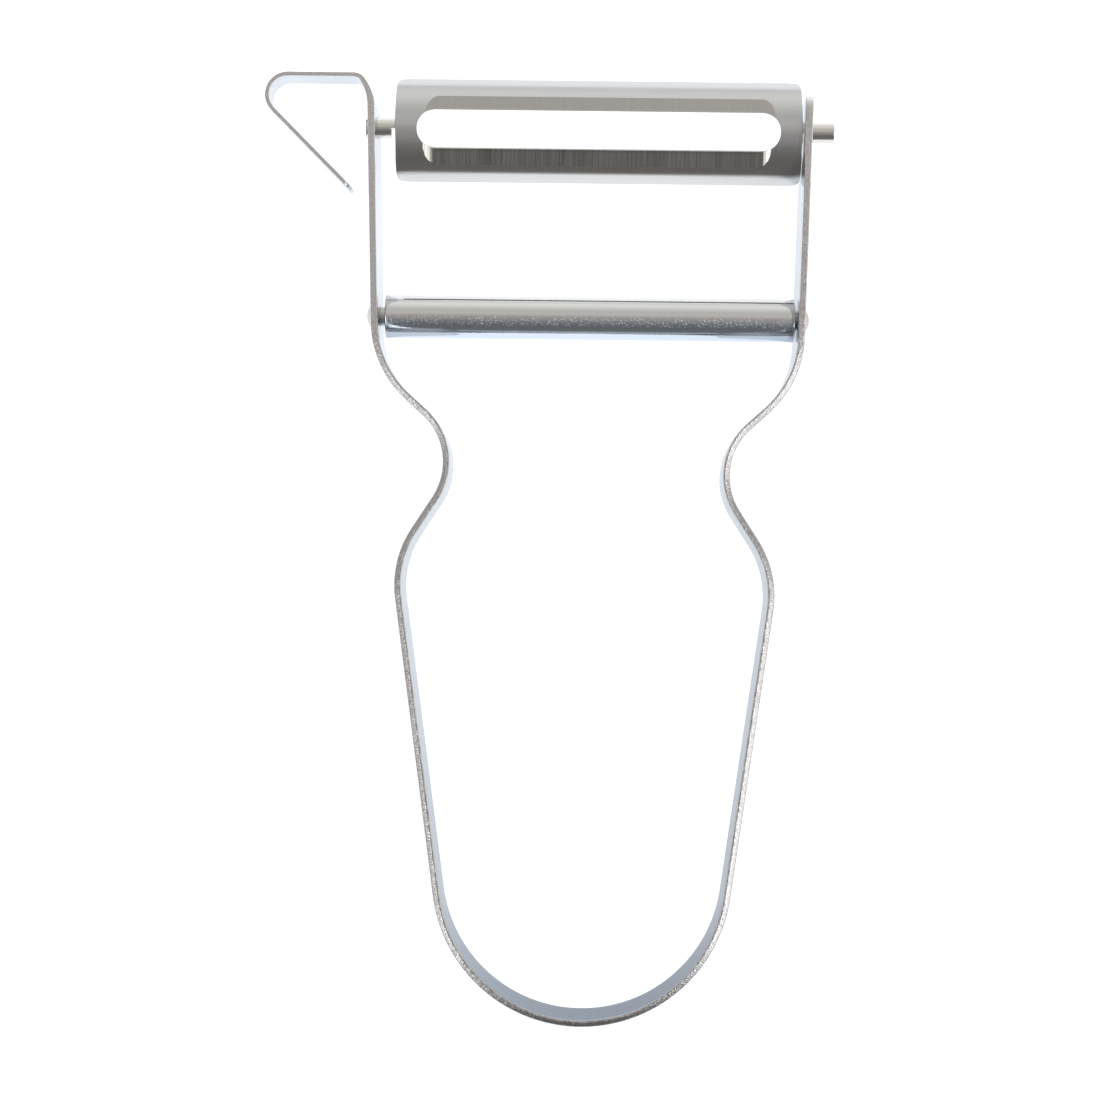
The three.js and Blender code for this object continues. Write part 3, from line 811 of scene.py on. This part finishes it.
def makeFloor(look):
    half = look["size"] / 2
    corners = [(-half, -half), (half, -half), (half, half), (-half, half)]
    mesh = bpy.data.meshes.new("floor")
    mesh.from_pydata([(cadMiddle.x + x, cadMiddle.y + y, cadLow.z) for x, y in corners],
                     [], [(0, 1, 2, 3)])
    material = bpy.data.materials.new("paleFloor")
    material.use_nodes = True
    tree = material.node_tree
    shader = tree.nodes["Principled BSDF"]
    shader.inputs["Roughness"].default_value = look["roughness"]
    shader.inputs["Specular IOR Level"].default_value = look["gloss"]
    shader.inputs["Emission Color"].default_value = (*look["glow"], 1)
    shader.inputs["Emission Strength"].default_value = look["glowStrength"]
    spot = addNode(tree, "ShaderNodeTexCoord").outputs["Object"]
    cloud = streaks(tree, spot, look["cloud"])
    wire(tree, shader, {"Base Color": mixColour(tree, cloud, look["pale"], look["paler"])})
    mesh.materials.append(material)
    floor = bpy.data.objects.new("floor", mesh)
    bpy.context.scene.collection.objects.link(floor)


makeFloor(floorLook)

# Soft room light: a grey ceiling, pale towards the far side (+Y), dark towards the near side, and
# paler again towards the horizon. Bands are at the y of a direction, the horizon at its z.
roomLight = {
    "horizon": (0.72, 0.73, 0.75), "horizonRange": (0.28, -0.05),
    "bands": [(-1.0, (0.18, 0.18, 0.18)), (-0.8, (0.165, 0.165, 0.165)), (-0.6, (0.19, 0.19, 0.19)),
              (-0.4, (0.25, 0.25, 0.25)), (-0.2, (0.36, 0.355, 0.355)), (-0.05, (0.40, 0.37, 0.37)),
              (0.08, (0.48, 0.455, 0.45)), (0.25, (0.62, 0.605, 0.59)), (0.55, (0.61, 0.61, 0.58)),
              (0.7, (0.70, 0.71, 0.68)), (0.9, (0.93, 0.93, 0.91)), (1.0, (0.96, 0.96, 0.95))]}


def makeRoom(look):
    world = bpy.data.worlds.new("room")
    bpy.context.scene.world = world
    world.use_nodes = True
    tree = world.node_tree
    direction = addNode(tree, "ShaderNodeTexCoord").outputs["Generated"]
    parts = addNode(tree, "ShaderNodeSeparateXYZ", {"Vector": direction}).outputs
    share = spread(tree, parts["Y"], (-1.0, 1.0))
    low = spread(tree, parts["Z"], look["horizonRange"])
    stops = [((y + 1) / 2, colour) for y, colour in look["bands"]]
    sky = mixColour(tree, low, rampNode(tree, share, stops), look["horizon"])
    wire(tree, tree.nodes["Background"], {"Color": sky})


makeRoom(roomLight)

# Large soft lamps, aimed at the middle of the peeler: place and size in metres, power in watts
lamps = {
    "nearLeft": {"place": (-0.66, -0.38, 0.79), "size": 0.44, "power": 1.5},
    "nearRight": {"place": (0.74, -0.24, 0.76), "size": 0.75, "power": 3.4}}


def makeLamps(settings):
    for name, look in settings.items():
        data = bpy.data.lights.new(name, "AREA")
        data.shape = "SQUARE"
        data.size = look["size"]
        data.energy = look["power"]
        lamp = bpy.data.objects.new(name, data)
        bpy.context.scene.collection.objects.link(lamp)
        lamp.location = look["place"]
        lamp.rotation_euler = (cadMiddle - lamp.location).to_track_quat("-Z", "Y").to_euler()


makeLamps(lamps)

# The camera looks straight down, a little turned; the shift puts the handle off centre as framed
cameraView = {
    "place": (0.00085, 0.0479, 0.3405), "turn": 0.65, "lens": 93.4, "sensor": 36.0,
    "shift": (-0.0382, 0.0545), "clip": (0.01, 20)}


def makeCamera(look):
    data = bpy.data.cameras.new("camera")
    data.lens = look["lens"]
    data.sensor_width = look["sensor"]
    data.shift_x, data.shift_y = look["shift"]
    data.clip_start, data.clip_end = look["clip"]
    camera = bpy.data.objects.new("camera", data)
    bpy.context.scene.collection.objects.link(camera)
    camera.location = look["place"]
    camera.rotation_euler = (0, 0, np.radians(look["turn"]))
    bpy.context.scene.camera = camera


makeCamera(cameraView)
bpy.context.scene.view_settings.view_transform = "Standard"
bpy.context.scene.view_settings.look = "None"
print("stage, lamps and camera ready")
